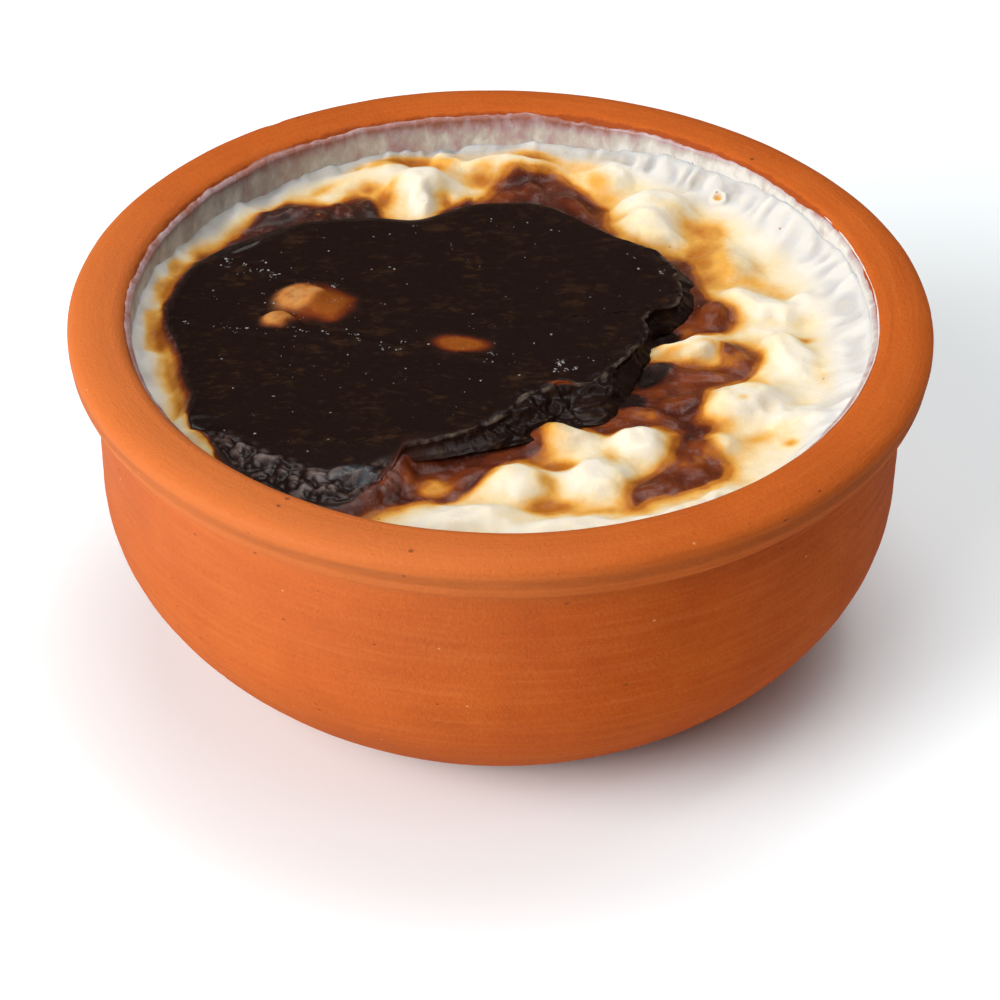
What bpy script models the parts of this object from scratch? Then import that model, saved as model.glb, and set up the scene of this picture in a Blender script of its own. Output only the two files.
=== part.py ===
"""Baked rice pudding in a small round clay bowl: two solids, the bowl and the pudding that fills it.

Metres, +Z up. The origin is the centre of the bowl's flat foot, and -Y is the front.
"""

import math

import bpy
import numpy as np

MM = 0.001
SECTORS = 72  # flats round each turned solid

# The bowl, in millimetres
FOOT_R = 36.6
FOOT_H = 1.1
FOOT_BEVEL = 0.3
FOOT_UNDERCUT = 0.1  # how far below FOOT_H the foot's side begins
BODY_R = 56.6  # the upright part of the wall
BELLY_Z = 28.0  # where the wall's curve ends and its upright part begins
BODY_CURVE = 20.4  # how far the curve runs in between there and the table
NECK_Z = 46.2  # the crease below the rim
NECK_STEP = 0.4  # how far the rim's lower face stands off the crease, outwards and upwards
RIM_R = 60.0
RIM_WIDEST_Z = 51.6
RIM_TOP_Z = 53.7
RIM_CREST_R = 57.6
RIM_DROOP = 0.25  # the rim's top falls this far towards the lip
LIP_R = 54.2  # where the rim's top rounds over into the inside
INNER_R = 51.9
INNER_LIP_Z = 51.8
FLOOR_Z = 6.0
FLOOR_R = 30.0
UNDER_TURNS = (25, 50, 75)  # degrees round the rim's lower face at which it has a corner
ROUNDING = 2.3  # exponent of the rim's rounded corners: 2 is an ellipse, more is squarer

# The pudding, in millimetres
GAP = 0.3  # clearance to the bowl
LEVEL_Z = 46.4
TOP_RINGS = 17

# Points along each stretch of the two profiles
INSIDE_POINTS = 7
LIP_POINTS = 4
CROWN_POINTS = 5
OUTSIDE_POINTS = 9

MERGE_DISTANCE = 0.00001  # metres: joins each turned solid's seam and its points on the axis
SHARP_ANGLE = 50  # degrees: a sharper edge than this is shaded as an edge

# Where the skin has dried against the wall: bearing in degrees from +X, height there, run inwards
SKIN_AT_WALL = (
    (0, 51.6, 9.0),
    (45, 51.2, 8.0),
    (70, 50.0, 6.0),
    (100, 49.0, 4.0),
    (150, 49.6, 4.0),
    (190, 49.4, 5.0),
    (235, 48.4, 5.0),
    (270, 47.6, 5.0),
    (315, 48.8, 6.0),
)

# The browned crust: its outline seen from above, its height over the level and its edge's width
CRUST_OUTLINE = (
    (-43, 21),
    (-30, 30),
    (-13, 31),
    (-3, 36),
    (8, 35),
    (24, 22),
    (26, 10),
    (20, 1),
    (13, -11),
    (3, -15),
    (-4, -23),
    (-14, -28),
    (-26, -35),
    (-37, -28),
    (-43, -14),
    (-47, 5),
)
CRUST_H = 1.7
CRUST_EDGE = 3.0

# Soft humps of rice and milk round the crust: x, y, radius, height
HUMPS = (
    (-12, 41, 6, 1.4),
    (3, 47, 6, 0.8),
    (16, 44, 5, 1.0),
    (23, 33, 7, 1.6),
    (37, 22, 5, 0.9),
    (40, 7, 5, 1.0),
    (28, -3, 5, 0.8),
    (37, -14, 6, 1.1),
    (27, -25, 6, 1.0),
    (12, -30, 9, 1.3),
    (-6, -40, 7, 0.8),
    (-28, -42, 7, 0.6),
)

CLAY = ((0.58, 0.14, 0.03, 1.0), 0.72)
CREAM = ((0.86, 0.72, 0.54, 1.0), 0.38)


def clear_scene():
    for obj in list(bpy.data.objects):
        bpy.data.objects.remove(obj, do_unlink=True)


def new_collection(name):
    collection = bpy.data.collections.new(name)
    bpy.context.scene.collection.children.link(collection)
    return collection


def principled(name, colour, roughness):
    material = bpy.data.materials.new(name)
    material.use_nodes = True
    shader = material.node_tree.nodes["Principled BSDF"]
    shader.inputs["Base Color"].default_value = colour
    shader.inputs["Roughness"].default_value = roughness
    shader.inputs["Metallic"].default_value = 0.0
    return material


def rounded_corner(centre, half_r, half_z, start, end, count):
    """Points on a superellipse from one angle to another, in degrees from the +r direction."""
    points = []
    for turn in np.linspace(math.radians(start), math.radians(end), count):
        along, up = math.cos(turn), math.sin(turn)
        r = centre[0] + half_r * math.copysign(abs(along) ** (2 / ROUNDING), along)
        z = centre[1] + half_z * math.copysign(abs(up) ** (2 / ROUNDING), up)
        points.append((r, z))
    return points


def outer_wall_r(z):
    return BODY_R - BODY_CURVE * (1 - z / BELLY_Z) ** 2


def inner_wall_r(z):
    """The inside runs alongside the outside, down to the floor."""
    share = max(0.0, 1 - (z - FLOOR_Z) / (BELLY_Z - FLOOR_Z))
    return INNER_R - (INNER_R - FLOOR_R) * share**2


def inner_wall_slope(z):
    depth = BELLY_Z - FLOOR_Z
    share = max(0.0, 1 - (z - FLOOR_Z) / depth)
    return 2 * (INNER_R - FLOOR_R) * share / depth


def bowl_profile():
    """From the middle of the inside floor, up and over the rim, and down the outside to the foot."""
    crest_z = RIM_TOP_Z - RIM_DROOP
    inside = [(inner_wall_r(z), z) for z in np.linspace(FLOOR_Z, BELLY_Z, INSIDE_POINTS)]
    lip = rounded_corner(
        (LIP_R, INNER_LIP_Z),
        LIP_R - INNER_R,
        crest_z - INNER_LIP_Z,
        180,
        90,
        LIP_POINTS,
    )
    crown = rounded_corner(
        (RIM_CREST_R, RIM_WIDEST_Z),
        RIM_R - RIM_CREST_R,
        RIM_TOP_Z - RIM_WIDEST_Z,
        90,
        0,
        CROWN_POINTS,
    )
    under_r = BODY_R + NECK_STEP
    under_z = NECK_Z + NECK_STEP
    under = [
        (
            under_r + (RIM_R - under_r) * math.cos(turn),
            RIM_WIDEST_Z - (RIM_WIDEST_Z - under_z) * math.sin(turn),
        )
        for turn in np.radians(UNDER_TURNS)
    ]
    outside = [(outer_wall_r(z), z) for z in np.linspace(BELLY_Z, FOOT_H, OUTSIDE_POINTS)]
    return (
        [(0.0, FLOOR_Z)]
        + inside
        + lip
        + crown
        + under
        + [(BODY_R, NECK_Z)]
        + outside
        + [
            (FOOT_R, FOOT_H - FOOT_UNDERCUT),
            (FOOT_R, FOOT_BEVEL),
            (FOOT_R - FOOT_BEVEL, 0.0),
            (0.0, 0.0),
        ]
    )


def pudding_profile():
    """From the middle of the top, out to the wall, and down beside it to the floor."""
    top_r = INNER_R - GAP
    bottom_z = FLOOR_Z + GAP
    top = [(top_r * ring / TOP_RINGS, LEVEL_Z) for ring in range(TOP_RINGS + 1)]
    side = []
    for z in np.linspace(BELLY_Z, bottom_z, INSIDE_POINTS):
        clearance = GAP * math.hypot(1, inner_wall_slope(z))
        side.append((inner_wall_r(z) - clearance, z))
    return top + side + [(0.0, bottom_z)]


def turned(name, profile, material, collection):
    """A solid of revolution about +Z, from a profile in millimetres."""
    mesh = bpy.data.meshes.new(name)
    verts = [(r * MM, 0.0, z * MM) for r, z in profile]
    edges = [(i, i + 1) for i in range(len(verts) - 1)]
    mesh.from_pydata(verts, edges, [])
    mesh.materials.append(material)
    obj = bpy.data.objects.new(name, mesh)
    collection.objects.link(obj)
    screw = obj.modifiers.new("Turned", "SCREW")
    screw.axis = "Z"
    screw.steps = SECTORS
    screw.render_steps = SECTORS
    screw.use_merge_vertices = True
    screw.merge_threshold = MERGE_DISTANCE
    screw.use_smooth_shade = True
    return obj


def smooth_step(value):
    value = np.clip(value, 0.0, 1.0)
    return value * value * (3 - 2 * value)


def distance_inside(x, y, outline):
    """Distance to the outline's nearest side: positive inside the outline, negative outside it."""
    corners = np.array(outline, float)
    nearest = np.full(x.shape, np.inf)
    inside = np.zeros(x.shape, bool)
    for start, end in zip(corners, np.roll(corners, -1, axis=0)):
        run = end - start
        share = ((x - start[0]) * run[0] + (y - start[1]) * run[1]) / (run @ run)
        share = np.clip(share, 0.0, 1.0)
        gap = np.hypot(x - start[0] - share * run[0], y - start[1] - share * run[1])
        nearest = np.minimum(nearest, gap)
        crosses = (start[1] > y) != (end[1] > y)
        rise = run[1] if run[1] else 1.0
        inside ^= crosses & (x < start[0] + (y - start[1]) * run[0] / rise)
    return np.where(inside, nearest, -nearest)


def top_height(x, y):
    """Height of the pudding's top in millimetres, over a point seen from above."""
    r = np.hypot(x, y)
    bearing = np.degrees(np.arctan2(y, x)) % 360
    bearings, heights, runs = np.array(SKIN_AT_WALL, float).T
    at_wall = np.interp(bearing, bearings, heights, period=360)
    run = np.interp(bearing, bearings, runs, period=360)
    climb = smooth_step((r - (INNER_R - run)) / run) * (at_wall - LEVEL_Z)
    crust = distance_inside(x, y, CRUST_OUTLINE)
    height = LEVEL_Z + climb + CRUST_H * smooth_step(crust / CRUST_EDGE + 0.5)
    for hump_x, hump_y, radius, rise in HUMPS:
        spread = ((x - hump_x) ** 2 + (y - hump_y) ** 2) / radius**2
        height += rise * np.exp(-spread)
    return height


def shape_top(obj):
    """Makes the turned solid a mesh and lifts its level top into the crust, the humps and the skin."""
    graph = bpy.context.evaluated_depsgraph_get()
    mesh = bpy.data.meshes.new_from_object(obj.evaluated_get(graph))
    obj.modifiers.clear()
    obj.data = mesh
    places = np.empty(len(mesh.vertices) * 3, np.float32)
    mesh.vertices.foreach_get("co", places)
    places = places.reshape(-1, 3)
    on_top = places[:, 2] > (LEVEL_Z - GAP) * MM
    x, y = places[on_top, 0] / MM, places[on_top, 1] / MM
    places[on_top, 2] = top_height(x, y) * MM
    mesh.vertices.foreach_set("co", places.ravel())
    mesh.update()


def build_bowl(collection):
    material = principled("clay", *CLAY)
    bowl = turned("bowl", bowl_profile(), material, collection)
    bowl.data.shade_smooth()
    return bowl


def build_pudding(collection):
    material = principled("cream", *CREAM)
    pudding = turned("pudding", pudding_profile(), material, collection)
    shape_top(pudding)
    pudding.data.shade_smooth()
    pudding.data.set_sharp_from_angle(angle=math.radians(SHARP_ANGLE))
    return pudding


def main():
    clear_scene()
    collection = new_collection("rice_pudding")
    build_bowl(collection)
    build_pudding(collection)


main()
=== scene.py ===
"""Looks of a baked rice pudding in its small clay bowl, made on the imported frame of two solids.

Lengths are in millimetres on plan, with x to the right, y away from the front and z up from the
table; they become metres where a mesh is made.
"""

import math

import bpy
import numpy as np
from mathutils import Matrix, Vector


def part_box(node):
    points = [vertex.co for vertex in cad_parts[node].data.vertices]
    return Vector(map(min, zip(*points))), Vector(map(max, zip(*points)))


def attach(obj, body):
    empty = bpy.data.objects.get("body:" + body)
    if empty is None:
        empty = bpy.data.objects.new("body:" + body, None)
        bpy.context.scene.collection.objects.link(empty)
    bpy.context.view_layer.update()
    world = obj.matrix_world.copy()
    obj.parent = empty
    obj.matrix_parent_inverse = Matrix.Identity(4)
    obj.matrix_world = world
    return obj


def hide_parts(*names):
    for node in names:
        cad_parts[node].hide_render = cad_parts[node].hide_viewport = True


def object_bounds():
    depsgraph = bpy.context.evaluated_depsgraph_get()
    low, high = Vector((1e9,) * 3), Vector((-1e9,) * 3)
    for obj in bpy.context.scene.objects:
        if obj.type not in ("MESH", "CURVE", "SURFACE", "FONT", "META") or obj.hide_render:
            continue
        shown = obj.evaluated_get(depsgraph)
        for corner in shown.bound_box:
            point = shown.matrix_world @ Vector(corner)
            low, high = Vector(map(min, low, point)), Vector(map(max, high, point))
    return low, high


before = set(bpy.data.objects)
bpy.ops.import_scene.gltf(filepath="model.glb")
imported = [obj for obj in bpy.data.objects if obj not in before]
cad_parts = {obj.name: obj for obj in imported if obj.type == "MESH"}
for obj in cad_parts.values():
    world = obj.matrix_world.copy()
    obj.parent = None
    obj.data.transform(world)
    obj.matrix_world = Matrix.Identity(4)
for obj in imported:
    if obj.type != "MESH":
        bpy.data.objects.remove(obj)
cad_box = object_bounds()

MM = 0.001
GAP = 0.3  # the frame's clearance between pudding and clay

bowl_low, bowl_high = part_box("bowl")
pudding_low, pudding_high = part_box("pudding")
RIM_R = (bowl_high[0] - bowl_low[0]) / 2 / MM
RIM_TOP_Z = bowl_high[2] / MM
INNER_R = pudding_high[0] / MM + GAP
FLOOR_Z = pudding_low[2] / MM - GAP

# The bowl's form: close to the frame's, with a rounder rim
FOOT_R = 36.6
FOOT_H = 1.1
BODY_R = 56.6
BELLY_Z = 28.0
BODY_CURVE = 20.4
NECK_Z = 46.2
RIM_WIDEST_Z = RIM_TOP_Z - 1.9
RIM_CREST_R = 55.8
RIM_DROOP = 0.10
LIP_R = 54.4
INNER_LIP_Z = 51.6
FLOOR_R = 30.0
ROUNDING = 2.3

BOWL_SECTORS = 350  # flats round the bowl
BOWL_SPACING = 0.9  # the furthest apart that its profile's points are

LEVEL_Z = 46.4  # the cream between its lumps
SKIN_Z = 48.6  # the top of the burnt skin


# ---------------------------------------------------------------- fields on plan


def smooth(value):
    value = np.clip(value, 0.0, 1.0)
    return value * value * (3 - 2 * value)


def one_octave(x, y, cell, seed):
    """Smooth noise from -1 to 1, from a seeded grid of heights one cell apart."""
    size = 256
    heights = np.random.default_rng(seed).uniform(-1, 1, (size, size))
    turn = 0.7 * seed
    u = (x * math.cos(turn) - y * math.sin(turn)) / cell + size / 2 + 0.37
    v = (x * math.sin(turn) + y * math.cos(turn)) / cell + size / 2 + 0.71
    i, j = np.floor(u).astype(int), np.floor(v).astype(int)
    s, t = smooth(u - i), smooth(v - j)
    i, j = i % size, j % size
    ni, nj = (i + 1) % size, (j + 1) % size
    near = heights[i, j] * (1 - s) + heights[ni, j] * s
    far = heights[i, nj] * (1 - s) + heights[ni, nj] * s
    return near * (1 - t) + far * t


def noise(x, y, cell, seed, octaves=3, fade=0.5):
    total = np.zeros(np.shape(x))
    weight = 1.0
    whole = 0.0
    for octave in range(octaves):
        total += weight * one_octave(x, y, cell / 2**octave, seed + 17 * octave)
        whole += weight
        weight *= fade
    return total / whole


def ridges(x, y, cell, seed, octaves=3):
    """Noise with sharp crests, from 0 in the hollows to 1 on the crests."""
    total = np.zeros(np.shape(x))
    weight = 1.0
    whole = 0.0
    for octave in range(octaves):
        crest = 1 - np.abs(one_octave(x, y, cell / 2**octave, seed + 31 * octave))
        total += weight * crest**2
        whole += weight
        weight *= 0.5
    return total / whole


def curve_through(points, steps=6, closed=True):
    """A smooth line through the points, with a few steps between each two."""
    points = np.array(points, float)
    count = len(points)
    spans = count if closed else count - 1
    made = []
    for k in range(spans):
        around = [k - 1, k, k + 1, k + 2]
        if closed:
            around = [index % count for index in around]
        else:
            around = [min(max(index, 0), count - 1) for index in around]
        a, b, c, d = points[around]
        for t in np.arange(steps) / steps:
            made.append(
                0.5
                * (
                    2 * b
                    + (c - a) * t
                    + (2 * a - 5 * b + 4 * c - d) * t**2
                    + (3 * b - a - 3 * c + d) * t**3
                )
            )
    if not closed:
        made.append(points[-1])
    return np.array(made)


def to_side(x, y, start, end):
    """(distance to the straight side, how far along it that is from 0 to 1)"""
    run = end - start
    share = ((x - start[0]) * run[0] + (y - start[1]) * run[1]) / max(run @ run, 1e-9)
    share = np.clip(share, 0.0, 1.0)
    return np.hypot(x - start[0] - share * run[0], y - start[1] - share * run[1]), share


def distance_to_line(x, y, line):
    nearest = np.full(np.shape(x), np.inf)
    for start, end in zip(line[:-1], line[1:]):
        nearest = np.minimum(nearest, to_side(x, y, start, end)[0])
    return nearest


def nearest_place(x, y, line):
    """How far round the closed line its nearest point lies, from 0 to 1."""
    nearest = np.full(np.shape(x), np.inf)
    place = np.zeros(np.shape(x))
    for k, (start, end) in enumerate(zip(line, np.roll(line, -1, axis=0))):
        gap, share = to_side(x, y, start, end)
        place = np.where(gap < nearest, (k + share) / len(line), place)
        nearest = np.minimum(nearest, gap)
    return place


def depth_inside(x, y, outline):
    """Distance to the closed outline: positive inside it, negative outside."""
    inside = np.zeros(np.shape(x), bool)
    for start, end in zip(outline, np.roll(outline, -1, axis=0)):
        run = end - start
        crosses = (start[1] > y) != (end[1] > y)
        rise = run[1] if run[1] else 1.0
        inside ^= crosses & (x < start[0] + (y - start[1]) * run[0] / rise)
    gap = distance_to_line(x, y, np.vstack([outline, outline[:1]]))
    return np.where(inside, gap, -gap)


def mound(x, y, at):
    """A soft oval hump, 1 at its middle: at is (x, y, half length, half width, turn in degrees)."""
    cx, cy, along, across, turn = at
    turn = math.radians(turn)
    u = (x - cx) * math.cos(turn) + (y - cy) * math.sin(turn)
    v = (y - cy) * math.cos(turn) - (x - cx) * math.sin(turn)
    return np.exp(-((u / along) ** 2 + (v / across) ** 2))


# ---------------------------------------------------------------- where things are

# The burnt skin's edge, clockwise from its far left corner
SKIN_EDGE = (
    (-42.5, 18.5), (-37.5, 23), (-30, 27), (-20, 28.8), (-13, 28.2), (-8, 30.8),
    (-4, 33.3), (2, 34.3), (7, 33.0), (12, 28.8), (16, 25.3), (20, 22.3),
    (23.6, 19.3), (25.3, 15), (25.6, 8.6), (24.6, 6.3), (21.9, 5.6), (20.6, 3.4),
    (20.4, -1.5), (18.9, -4.5), (16.9, -7.5), (14.6, -11.5), (12, -13.6), (9, -13.3),
    (6, -15.2), (3, -17.4), (1, -21), (-3, -24.3), (-8, -27), (-12.4, -28.6),
    (-14.2, -32.3), (-17.6, -37.6), (-22.5, -39.8), (-30, -36.5), (-36, -31), (-38.5, -27),
    (-42, -22.3), (-41.8, -17.4), (-43.7, -10.4), (-45.7, -2.5), (-47.3, 2.5), (-46.7, 8),
    (-45, 14),
)
SKIN_MIDDLE = (-10.0, 0.0)

# How the skin's edge falls, read between the corners numbered from 0 in the list above:
# (corner, width of the fall, drop, crumpling from 0 to 1, how far it stands proud from 0 to 1)
EDGE_FALL = (
    (0, 0.8, 1.8, 0.3, 0.0),
    (2, 0.8, 1.8, 0.3, 0.0),
    (4, 0.8, 1.5, 0.1, 0.0),
    (8, 0.8, 1.5, 0.1, 0.1),
    (10, 0.8, 1.6, 0.3, 0.5),
    (11, 1.0, 1.8, 0.6, 0.8),
    (12, 1.6, 2.0, 1.0, 1.0),
    (13, 2.4, 2.4, 1.1, 1.0),
    (14, 1.9, 3.0, 1.0, 1.0),
    (15, 1.4, 3.6, 0.9, 1.0),
    (17, 1.1, 3.8, 0.9, 1.0),
    (18, 1.2, 3.2, 0.9, 1.0),
    (19, 1.4, 3.1, 1.0, 1.0),
    (20, 2.0, 2.9, 1.0, 1.0),
    (21, 3.8, 2.7, 1.0, 1.0),
    (22, 6.0, 2.5, 1.0, 1.0),
    (24, 7.0, 2.2, 1.0, 1.0),
    (26, 4.6, 2.0, 1.0, 1.0),
    (27, 2.6, 1.8, 0.9, 1.0),
    (28, 1.8, 1.7, 0.7, 0.8),
    (29, 1.2, 1.6, 0.5, 0.3),
    (30, 1.0, 1.6, 0.3, 0.0),
    (35, 1.0, 1.8, 0.3, 0.0),
    (40, 0.8, 1.6, 0.2, 0.0),
    (43, 0.8, 1.8, 0.3, 0.0),
)

# Dried skin on the wall: bearing in degrees from +X, height there, run inwards
SKIN_AT_WALL = (
    (0, 51.9, 9.5),
    (30, 52.0, 9.0),
    (60, 50.9, 7.0),
    (75, 49.8, 4.0),
    (95, 48.6, 3.0),
    (120, 48.6, 3.0),
    (150, 49.2, 3.5),
    (190, 49.6, 5.0),
    (235, 48.6, 4.0),
    (270, 47.6, 4.0),
    (310, 48.8, 6.0),
    (335, 51.0, 8.5),
)

# Soft lumps of rice under the milk skin: (oval, rise)
LUMPS = (
    ((-12.5, 41, 5.2, 3.6, 0), 1.9),
    ((-12.5, 35.5, 2.2, 3.2, 0), 1.2),
    ((-20, 44, 7, 2.4, 25), 1.0),
    ((0, 46.5, 8, 2.6, 5), 1.5),
    ((-9, 47.5, 3, 2, -30), 0.9),
    ((16, 43.5, 4.5, 3.5, -20), 1.3),
    ((23, 34.5, 5.5, 4.8, -15), 1.9),
    ((22, 28.5, 4.5, 2.6, -30), 1.3),
    ((33.5, 20, 3.4, 4.5, 0), 0.9),
    ((36, 10, 5.5, 2.6, -35), 1.3),
    ((42.5, 9, 4, 3, 10), 1.2),
    ((40.5, -2, 3.2, 6, 15), 1.3),
    ((26.5, -1.6, 5, 1.7, 8), 1.2),
    ((33, -14.5, 5.5, 3.2, 20), 1.5),
    ((40, -18, 5, 3.2, 15), 1.1),
    ((29, -24, 3, 2.6, 0), 0.9),
    ((19, -25, 4.2, 3.4, -10), 1.4),
    ((9.5, -23, 4.2, 2.6, -15), 1.3),
    ((3, -33, 4.5, 3.2, 20), 1.2),
    ((13, -32, 4.5, 4.2, 0), 1.2),
    ((-4, -40.5, 6, 2.2, 5), 0.9),
    ((12, -42, 9, 1.8, 5), 0.7),
    ((26, -38, 8, 1.8, 35), 0.7),
    ((-46.5, -14.5, 1.8, 3.0, 15), 0.5),
    ((-48.2, -7.5, 1.6, 2.8, 5), 0.4),
    ((-49.8, 0.5, 1.6, 3.0, 0), 0.4),
    ((-49.2, 7.0, 1.8, 2.4, -15), 0.5),
    ((-47.6, 12.5, 2.0, 2.4, -10), 0.55),
    ((-45.6, 19.0, 2.0, 2.2, -30), 0.55),
    ((-38, 31, 3.6, 1.6, 40), 0.7),
)

# Hollows where the skin has sunk: (oval, depth)
HOLLOWS = (
    ((23.2, 2.8, 2.2, 3.2, 10), 1.9),
    ((20.0, -7.5, 3.0, 1.8, 40), 1.3),
    ((14, 38, 2.5, 5, 25), 0.6),
    ((28, 27, 3, 6, 20), 0.5),
    ((7, -27.8, 4, 1.6, -15), 0.8),
    ((6, -37, 4, 2, 0), 0.7),
    ((26, -18, 2, 6, 10), 0.5),
    ((40, 2.5, 3.5, 1.3, 20), 0.7),
    ((35, -7.5, 2, 4, 30), 0.6),
    ((-37, 24.5, 6.5, 1.6, 38), 1.4),
)

# Small bumps that stand out of the browned skin: (oval, rise)
BUMPS = (
    ((4.5, 40.5, 1.5, 3.2, 12), 0.9),
    ((10.8, 37, 1.3, 3.4, 28), 0.9),
    ((0.5, 39, 1.4, 2.6, -30), 0.6),
    ((-27.5, 31.5, 1.3, 2.6, -10), 0.9),
    ((-24, 34, 1.2, 2.4, 35), 0.7),
    ((-33.5, 33, 3.2, 1.3, 35), 0.8),
    ((-20, 34.8, 1.6, 2.4, 20), 0.8),
    ((30, 7.5, 1.9, 3.0, -20), 1.3),
    ((29, 1.8, 2.6, 1.2, 10), 0.6),
    ((28, -6.8, 3.4, 1.2, -8), 0.7),
    ((33, -3, 1.6, 3.0, 20), 0.6),
    ((22, -5.2, 1.8, 1.0, 10), 0.7),
    ((24.5, -13.5, 2.6, 1.4, 25), 0.9),
    ((19.5, -16.5, 2.8, 1.3, -10), 0.7),
    ((22.5, -18.5, 2.2, 1.0, -25), 0.6),
    ((26, -28, 1.8, 2.4, 20), 0.7),
    ((21, -33.5, 2.6, 1.2, 25), 0.6),
    ((-9, -34, 1.9, 2.4, 0), 0.45),
    ((-12.5, -32.0, 1.4, 2.0, 20), 0.7),
    ((-5.5, -33.6, 1.2, 2.2, -30), 0.4),
    ((-4, -31, 2.2, 1.2, 30), 0.5),
)

# Burst blisters that left a ring: x, y, radius
RING_BLISTERS = ((32.2, 36.6, 1.0),)

# Browned patches round the skin: (outline, how brown inside, width over which it fades)
BROWNED = (
    (
        (
            (-44, 20), (-39, 27.5), (-33.5, 36.2), (-30, 36), (-26, 35.5), (-22.5, 38.2),
            (-19, 37.2), (-17.5, 33), (-15, 30.6), (-11, 31.2), (-8, 35.5), (-4.5, 38),
            (-4, 28), (-20, 24), (-34, 20),
        ),
        0.78,
        2.4,
    ),
    (
        (
            (-5, 36), (-2.5, 41), (0.5, 44.5), (4, 45.6), (8, 46.2), (10.5, 43),
            (13, 39.5), (15.5, 36.5), (16, 31.5), (15.5, 27), (4, 28), (-6, 30),
        ),
        0.60,
        2.6,
    ),
    (
        (
            (18, 25), (24, 22.5), (27, 21), (28.5, 15), (30, 11.6), (32.8, 9),
            (32.6, 4.5), (28.8, 1.8), (25, 1.0), (22, -1), (18, 3), (20, 14),
        ),
        0.54,
        2.4,
    ),
    (
        (
            (17, -3), (21, -3.6), (26, -4.4), (30.5, -3.8), (31, -0.4), (33.5, 1.0),
            (35.6, -1.5), (35.5, -5), (33, -8.6), (29.5, -10.4), (28, -13.5),
            (27.4, -17.5), (29.6, -20.4), (27.5, -22.5), (24, -21), (18, -20.5),
            (15, -21.5), (10, -18), (10, -10),
        ),
        0.55,
        2.2,
    ),
    (
        (
            (25.5, -20), (28.2, -23.5), (30.6, -28), (29.6, -31), (25.5, -33.5),
            (21, -35.8), (17.8, -37.8), (16.8, -35), (19.2, -31.4), (22.4, -27.5),
            (23.6, -23),
        ),
        0.52,
        2.4,
    ),
    (
        (
            (-24, -42), (-14, -39.2), (-7, -36.6), (-3, -32.6), (0.5, -29.8),
            (4, -27.4), (6.5, -23.5), (4, -20), (-8, -24), (-22, -26),
        ),
        0.64,
        2.2,
    ),
)

# Amber tints: (oval, strength). A toast of 0.25 is amber, 0.12 straw.
TINTS = (
    ((30.5, 22, 3.6, 8.5, 5), 0.34),
    ((27.0, 18.5, 2.4, 5.0, -12), 0.45),
    ((-17.5, 38.0, 1.6, 4.5, -20), 0.30),
    ((-8.0, 36.5, 1.4, 3.5, 15), 0.28),
    ((31, 30, 2.6, 2.2, 0), 0.20),
    ((37, 17, 5, 6, 0), 0.10),
    ((14, 42, 2.4, 4.5, 25), 0.28),
    ((-3.5, 44, 3, 2.6, 40), 0.26),
    ((4, 48.6, 5.5, 1.5, -8), 0.30),
    ((4.5, 53, 5.5, 1.3, -12), 0.42),
    ((-16, 46.8, 5.5, 1.3, 18), 0.46),
    ((-9, 46.8, 2.4, 1.2, -10), 0.34),
    ((-27, 39.2, 5, 1.5, 35), 0.22),
    ((-20.5, 40, 2.0, 2.2, 0), 0.24),
    ((8, -28, 3.4, 1.3, -12), 0.34),
    ((6.2, -33.6, 1.9, 2.4, 0), 0.30),
    ((7, -38, 3.6, 1.7, 8), 0.42),
    ((14, -38.4, 4.4, 1.0, 12), 0.20),
    ((2, -41, 3, 1.2, 0), 0.10),
    ((34.2, -12, 1.8, 1.8, 0), 0.22),
    ((42, 0.8, 2.2, 1.0, 10), 0.24),
    ((39.5, -23.5, 1.0, 0.9, 0), 0.24),
    ((33.5, -24.5, 4, 3, 20), 0.12),
    ((31.5, 4.4, 3, 1.0, 40), 0.20),
    ((-47.0, 16.5, 1.8, 3.6, -15), 0.20),
    ((-43.6, -18.5, 1.0, 3.2, 20), 0.16),
    ((36, -8.0, 1.6, 3.2, 30), 0.16),
    ((27.5, -15.5, 2.2, 2.0, 0), 0.20),
    ((36.5, -21.5, 4.5, 1.4, 25), 0.15),
    ((45, -10, 1.2, 5, 15), 0.10),
    ((38, 14.5, 5, 1.6, -30), 0.14),
    ((25.5, 31.5, 5, 1.3, -30), 0.14),
    ((15, -28.5, 1.4, 3.0, 10), 0.20),
    ((22, -21.5, 3.6, 1.0, -10), 0.20),
    ((23.6, -2.6, 3.2, 0.8, 8), 0.25),
    ((29.5, -1.0, 2.6, 0.7, 10), 0.22),
    ((32.2, 36.6, 0.8, 0.8, 0), 0.24),
    ((33.0, -16.0, 1.0, 0.6, 20), 0.22),
)

# Wet black places: (oval, how brown)
BURNT = (
    ((23.0, 3.4, 2.6, 2.0, 20), 0.95),
    ((21.5, -6.0, 3.2, 1.6, 25), 0.85),
    ((17.5, -13.5, 3.4, 2.4, 20), 0.90),
    ((-37.0, 23.6, 8.0, 2.2, 36), 0.98),
)

# Where the burnt skin gives way to brown at the front
FRONT_FLOW = (-14.0, -34.2, 6.6, 7.0, 0)

# Places in the browned front flow that stayed light: (oval, how brown there)
UNBROWNED = (
    ((-9.4, -32.8, 4.6, 4.0, 20), 0.50),
    ((-8.8, -33.8, 2.6, 3.0, -15), 0.41),
    ((-8.4, -34.2, 1.5, 2.0, -25), 0.335),
)

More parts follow.
